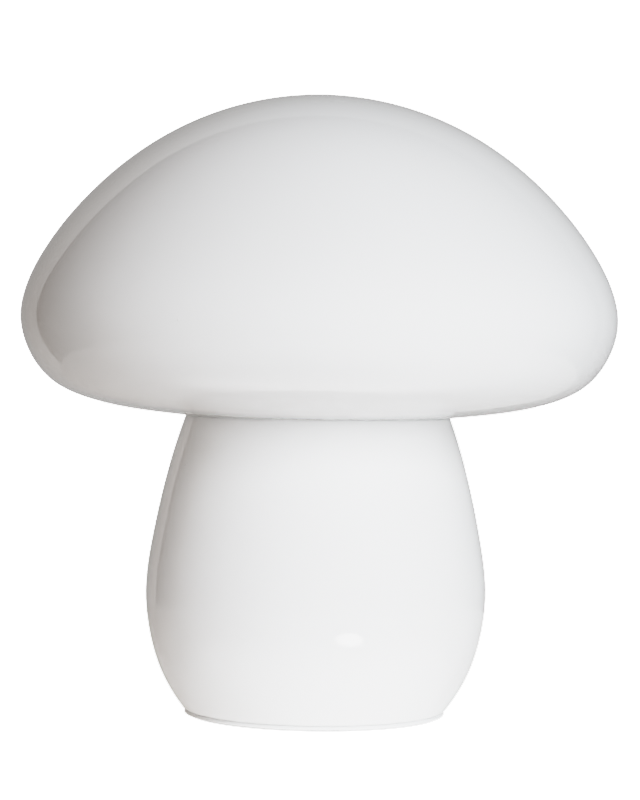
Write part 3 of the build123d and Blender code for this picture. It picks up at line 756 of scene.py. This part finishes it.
def addBar(shape, spots, radii):
    # closed bar through the spots, with its own radius at each
    sides = barEnd["sides"]
    turns = [2 * math.pi * k / sides for k in range(sides)]
    rings = []
    for i, (spot, radius) in enumerate(zip(spots, radii)):
        way = (spots[min(i + 1, len(spots) - 1)] - spots[max(i - 1, 0)]).normalized()
        across = way.cross(Vector((0, 1, 0))).normalized()
        other = way.cross(across)
        rings.append([shape.verts.new(spot + radius * (across * math.cos(t) + other * math.sin(t)))
                      for t in turns])
    for low, high in zip(rings, rings[1:]):
        for k in range(sides):
            shape.faces.new((low[k], low[k - 1], high[k - 1], high[k]))
    shape.faces.new(rings[0])
    shape.faces.new(rings[-1][::-1])


def straightBar(shape, start, end, radius, inner, bow=0.0):
    # bar with rounded ends; inner is the number of its steps, and bow lifts its middle
    start, end = Vector(start), Vector(end)
    nose = min(radius, barEnd["longest"] * (end - start).length) / (end - start).length
    bend = barEnd["bend"] * nose
    shares = [0, bend, nose] + [nose + (1 - 2 * nose) * k / inner for k in range(1, inner)]
    shares += [1 - nose, 1 - bend, 1]
    spots = [start.lerp(end, share) + Vector((0, 0, 4 * bow * share * (1 - share))) for share in shares]
    sizes = barEnd["sizes"] + [1.0] * (len(shares) - 4) + barEnd["sizes"][::-1]
    addBar(shape, spots, [radius * size for size in sizes])


def ringPiece(name, shape, finish, **values):
    bmesh.ops.recalc_face_normals(shape, faces=shape.faces)
    for face in shape.faces:
        face.smooth = len(face.verts) == 4
    holder = addObject(name + "One", meshOf(shape, name + "One"))
    return runTree(holder, ringOfCopies, name, finish, values)


def makeFilaments():
    lit = {"count": 4, "firstAngle": math.radians(45), "spread": 9.0 * mm, "foot": 208.5 * mm,
           "length": 32.0 * mm, "radius": 0.9 * mm, "clip": 1.9 * mm, "clipRadius": 1.0 * mm, "bare": 0.6,
           "wire": 0.35 * mm, "rod": 1.65 * mm, "wireInset": 1.5 * mm, "bow": 0.45 * mm}
    foot, top, bare = lit["foot"], lit["foot"] + lit["length"], lit["bare"] * lit["clip"]
    ring = {"Count": lit["count"], "First_Angle": lit["firstAngle"]}
    sticks, clips, wires = bmesh.new(), bmesh.new(), bmesh.new()
    straightBar(sticks, (0, 0, foot + bare), (0, 0, top - bare), lit["radius"], inner=20)
    piece = ringPiece("filamentSticks", sticks, "filament_phosphor", Radius=lit["spread"], **ring)
    seat(piece, "bulb", "filament_phosphor", "led_filaments")
    for low in (foot, top - lit["clip"]):
        straightBar(clips, (0, 0, low), (0, 0, low + lit["clip"]), lit["clipRadius"], inner=2)
    piece = ringPiece("filamentClips", clips, "zinc_steel", Radius=lit["spread"], **ring)
    seat(piece, "bulb", "zinc_steel")
    for z, bow in ((foot + lit["wireInset"], -lit["bow"]), (top - lit["wireInset"], lit["bow"])):
        straightBar(wires, (lit["rod"], 0, z), (lit["spread"] - lit["radius"], 0, z), lit["wire"], inner=8,
                    bow=bow)
    piece = ringPiece("filamentWires", wires, "zinc_steel", Radius=0.0, **ring)
    seat(piece, "bulb", "zinc_steel", "filament_wires")


makeGlassCap()
print("stage: glass cap blown")
makeGlassStem()
print("stage: glass stem blown and drilled")
makeBulbGlobe()
makeBulbThread()
makeFilaments()
print("stage: bulb made")

# width in mm over which a piece's edges are rounded; 0 only joins its triangles
edgeWidths = {
    "cap_rest_ring": 0.14, "foot_pad": 0.22, "base_plate": 0.25, "base_gasket": 0.18, "lower_washer": 0.25,
    "lower_nut": 0.3, "dome_locknut": 0.3, "centre_tube": 0.15, "cord_grommet": 0.45, "neck_gasket": 0.22,
    "neck_spider": 0.28, "upper_shade_ring": 0.35, "lower_shade_ring": 0.35, "holder_skirt": 0.35,
    "holder_dome": 0.35, "tube_set_screw": 0.12, "holder_insert": 0.3, "terminal_blocks": 0.15,
    "terminal_screws": 0.12, "centre_contact": 0.1, "side_contact": 0.1, "bulb_tip_contact": 0.1,
    "bulb_insulator": 0.1, "filament_mount": 0.25, "screw_shell": 0.0}
edgeShape = {"crease": 35.0, "flat": 1.0, "steps": 3}  # angles in degrees
squeezedEdge = {"beyond": 64.85 * mm, "step": 0.35 * mm}


def softEdged(node, finish, width):
    # the CAD shape with its triangles joined and its edges rounded
    crease = math.radians(edgeShape["crease"])
    shape = bmesh.new()
    shape.from_mesh(frame["nodes"][node].data)
    bmesh.ops.remove_doubles(shape, verts=shape.verts, dist=weld)
    if width:
        bmesh.ops.dissolve_limit(shape, angle_limit=math.radians(edgeShape["flat"]), verts=shape.verts,
                                 edges=shape.edges)
        edges = [edge for edge in shape.edges if edge.calc_face_angle(0) > crease]
        bmesh.ops.bevel(shape, geom=edges, offset=width, offset_type="OFFSET", segments=edgeShape["steps"],
                        profile=0.5, affect="EDGES", clamp_overlap=True)
    for face in shape.faces:
        face.smooth = True
    first, *words = node.split("_")
    name = first + "".join(word.title() for word in words)
    mesh = meshOf(shape, name)
    mesh.set_sharp_from_angle(angle=crease)
    mesh.materials.append(finishes[finish])
    return seat(addObject(name, mesh), body_of(frame["nodes"][node])[0], finish, node)


def pushOut(piece, beyond, step):
    # what lies beyond the radius swells out, as a squeezed soft edge does
    for vert in piece.data.vertices:
        reach = vert.co.xy.length
        if reach > beyond:
            vert.co.x *= 1 + step / reach
            vert.co.y *= 1 + step / reach


slots = {part["node"]: part["material_slot"] for part in frame["record"]["subparts"]}
softPieces = {node: softEdged(node, slots[node], width * mm) for node, width in edgeWidths.items()}
pushOut(softPieces["base_gasket"], **squeezedEdge)
print("stage: edges rounded,", len(softPieces), "pieces")


def lookedAt(tree):
    # masks for what the eye sees straight on, through the bulb's clear glass, and both
    ray = addNode(tree, "ShaderNodeLightPath").outputs
    unscattered = mathOf(tree, "LESS_THAN", ray["Diffuse Depth"], 0.5)
    through = product(tree, ray["Is Transmission Ray"], unscattered)
    return ray, through, mathOf(tree, "MAXIMUM", ray["Is Camera Ray"], through)


def addGlow(tree, below, colour, strength):
    glow = addNode(tree, "ShaderNodeEmission")
    glow.inputs["Color"].default_value = (*colour, 1)
    joinUp(tree, strength, glow.inputs["Strength"])
    both = addNode(tree, "ShaderNodeAddShader")
    joinUp(tree, below, both.inputs[0])
    joinUp(tree, glow.outputs[0], both.inputs[1])
    return both.outputs[0]


def mixShaders(tree, share, first, second):
    mix = addNode(tree, "ShaderNodeMixShader")
    for socket, source in zip(mix.inputs, (share, first, second)):
        joinUp(tree, source, socket)
    return mix.outputs[0]


def makeFloor():
    # pale board, paper white to the eye; to the lamp it is a lit table that ends not far away
    floor = {"radius": 6.0, "segments": 96, "pale": (0.88, 0.88, 0.88), "leftShade": (0.68, 0.64, 0.61),
             "leftFrom": -0.32, "leftTo": 0.02, "bounce": (0.27, 0.26, 0.25), "leftBounce": 0.6,
             "lift": 3.9, "liftThrough": 0.9, "tableEdge": 0.455, "edgeWidth": 0.012,
             "glint": 12.0, "glintSpot": (0.062, -0.183, 0.0), "glintSize": 0.032, "glintCore": 0.5,
             "flatFrom": 0.25, "flatTo": 0.5, "gleam": 2.4, "gleamFrom": 0.22, "gleamTo": 0.08,
             "gleamFront": 0.1}
    white = (1, 1, 1)
    material = bpy.data.materials.new("paleFloor")
    material.use_nodes = True
    tree = material.node_tree
    tree.nodes.clear()
    end = addNode(tree, "ShaderNodeOutputMaterial")
    ray, through, seen = lookedAt(tree)
    unseen = opposite(tree, seen)
    place = objectPlace(tree)
    away = vectorOf(tree, "LENGTH", place)
    side = splitOf(tree, place)
    beyond = softStep(tree, away, floor["tableEdge"], floor["tableEdge"] + floor["edgeWidth"])

    # painted shade: the board is darker and warmer on the left, as less light falls there, but not to the eye
    right = softStep(tree, side["X"], floor["leftFrom"], floor["leftTo"])
    board = addNode(tree, "ShaderNodeBsdfDiffuse")
    pale = mathOf(tree, "MAXIMUM", right, seen)
    joinUp(tree, mixOf(tree, pale, floor["leftShade"], floor["pale"]), board.inputs["Color"])
    bounce = mathOf(tree, "MULTIPLY_ADD", right, 1 - floor["leftBounce"], floor["leftBounce"])

    # a low panel's glint: only flat rays meet it, as those from the stem do
    offGlint = vectorOf(tree, "LENGTH", vectorOf(tree, "SUBTRACT", place, floor["glintSpot"]))
    core = floor["glintCore"] * floor["glintSize"]
    spot = opposite(tree, softStep(tree, offGlint, core, floor["glintSize"]))
    facing = addNode(tree, "ShaderNodeLayerWeight").outputs["Facing"]
    spot = product(tree, spot, softStep(tree, facing, floor["flatFrom"], floor["flatTo"]))

    # the board close in front of the foot, as the glass mirrors it
    close = softStep(tree, product(tree, away, -1.0), -floor["gleamFrom"], -floor["gleamTo"])
    front = softStep(tree, product(tree, side["Y"], -1.0), 0.0, floor["gleamFront"])
    mirrored = ray["Is Glossy Ray"]

    lit = board.outputs[0]
    for colour, strength in (
            (white, product(tree, ray["Is Camera Ray"], floor["lift"])),
            (white, product(tree, close, front, mirrored, floor["gleam"])),
            (white, product(tree, through, floor["liftThrough"])),
            (floor["bounce"], product(tree, bounce, unseen, opposite(tree, beyond))),
            (white, product(tree, spot, mirrored, floor["glint"]))):
        lit = addGlow(tree, lit, colour, strength)
    nothing = addNode(tree, "ShaderNodeBsdfTransparent").outputs[0]
    joinUp(tree, mixShaders(tree, product(tree, beyond, unseen), lit, nothing), end.inputs["Surface"])

    shape = bmesh.new()
    bmesh.ops.create_circle(shape, cap_ends=True, segments=floor["segments"], radius=floor["radius"])
    piece = addObject("floor", meshOf(shape, "floor"))
    piece.data.materials.append(material)


def aim(azimuth, elevation):
    # direction from the lamp; azimuth 0 is towards the camera and 90 to the right
    a, e = math.radians(azimuth), math.radians(elevation)
    return Vector((math.sin(a) * math.cos(e), -math.cos(a) * math.cos(e), math.sin(e)))


def makeWorld():
    # white to the eye; to the lamp a dim room on the left, a brighter one on the right and a lit backdrop
    studio = {"left": (0.14, 0.112, 0.092), "right": (0.224, 0.233, 0.238), "from": -0.6, "to": 0.6,
              "backdrop": (0.43, 0.425, 0.42), "backdropAngle": 43.0, "backdropEdge": 0.4, "upright": 0.885,
              "rimLeft": (0.68, 0.66, 0.64), "rimRight": (0.45, 0.45, 0.45), "rimFrom": 14.0, "rimTo": 41.0,
              "rimTurn": (-0.6, 0.05), "white": 6.0, "whiteThrough": 1.6}
    world = bpy.data.worlds.new("studio")
    world.use_nodes = True
    scene.world = world
    tree = world.node_tree
    tree.nodes.clear()
    end = addNode(tree, "ShaderNodeOutputWorld")
    way = addNode(tree, "ShaderNodeTexCoord").outputs["Generated"]
    across = splitOf(tree, way)["X"]
    # the backdrop's outline is an oval, taller than wide
    squeezed = vectorOf(tree, "NORMALIZE", vectorOf(tree, "MULTIPLY", way, (1.0, 1.0, studio["upright"])))
    facing = vectorOf(tree, "DOT_PRODUCT", squeezed, tuple(aim(180, 0)))

    def inCone(outer, inner):
        return softStep(tree, facing, math.cos(math.radians(outer)), math.cos(math.radians(inner)))

    room = mixOf(tree, softStep(tree, across, studio["from"], studio["to"]), studio["left"], studio["right"])
    rim = mixOf(tree, softStep(tree, across, *studio["rimTurn"]), studio["rimLeft"], studio["rimRight"])
    backdrop = mixOf(tree, inCone(studio["rimTo"], studio["rimFrom"]), rim, studio["backdrop"])
    behind = inCone(studio["backdropAngle"] + studio["backdropEdge"], studio["backdropAngle"])
    light = addNode(tree, "ShaderNodeBackground")
    joinUp(tree, mixOf(tree, behind, room, backdrop), light.inputs["Color"])
    plain = addNode(tree, "ShaderNodeBackground")
    plain.inputs["Color"].default_value = (1, 1, 1, 1)
    ray, through, seen = lookedAt(tree)
    brighter = studio["white"] - studio["whiteThrough"]
    glow = mathOf(tree, "MULTIPLY_ADD", ray["Is Camera Ray"], brighter, studio["whiteThrough"])
    joinUp(tree, glow, plain.inputs["Strength"])
    joinUp(tree, mixShaders(tree, seen, light.outputs[0], plain.outputs[0]), end.inputs["Surface"])


def makeLights():
    # soft boxes that light the glass without showing in its gloss: azimuth, elevation, size, power, colour
    boxes = {"keyLight": (23.0, 14.0, 1.8, 88.0, (0.933, 0.963, 1.0)),
             "leftFill": (-100.0, 10.0, 1.4, 2.5, (1.0, 0.83, 0.7)),
             "backLight": (180.0, 6.0, 1.8, 45.0, (0.97, 0.985, 1.0))}
    distance, aimHeight = 2.6, 0.16
    for name, (azimuth, elevation, size, power, colour) in boxes.items():
        lamp = bpy.data.lights.new(name, "AREA")
        lamp.size, lamp.energy, lamp.color = size, power, colour
        piece = addObject(name, lamp)
        way = aim(azimuth, elevation)
        piece.location = Vector((0, 0, aimHeight)) + way * distance
        piece.rotation_euler = way.to_track_quat("Z", "Y").to_euler()
        piece.visible_glossy = piece.visible_camera = piece.visible_transmission = False


def makeCamera():
    # rolled a little, which shares the cap's lean between the two glass pieces
    view = {"back": 1.403, "height": 0.1929, "side": 0.0009, "pitch": 1.4, "roll": 0.8, "focal": 125.2,
            "sensor": 36.0}
    eye = bpy.data.cameras.new("camera")
    eye.lens, eye.sensor_width = view["focal"], view["sensor"]
    piece = addObject("camera", eye)
    level = Euler((math.radians(90 - view["pitch"]), 0, 0)).to_matrix().to_4x4()
    place = Matrix.Translation((view["side"], -view["back"], view["height"]))
    piece.matrix_world = place @ level @ Matrix.Rotation(math.radians(view["roll"]), 4, "Z")
    scene.camera = piece


def setFilm():
    # print curve with a soft shoulder: whites of the glass stay below paper white
    film = {"knee": 0.5, "top": 0.93, "paper": 4.0, "points": (0.125, 0.16, 0.2, 0.25, 0.32, 0.45, 0.75)}
    look = scene.view_settings
    look.view_transform = "Standard"
    look.use_curve_mapping = True
    mapping = look.curve_mapping
    mapping.white_level = (film["paper"],) * 3
    curve = mapping.curves[3]  # the one for all three colours
    span = film["top"] - film["knee"]
    for share in film["points"]:
        light = share * film["paper"]
        curve.points.new(share, film["knee"] + span * (1 - math.exp((film["knee"] - light) / span)))
    mapping.update()


makeFloor()
makeWorld()
makeLights()
makeCamera()
setFilm()
print("stage: floor, light and camera set")
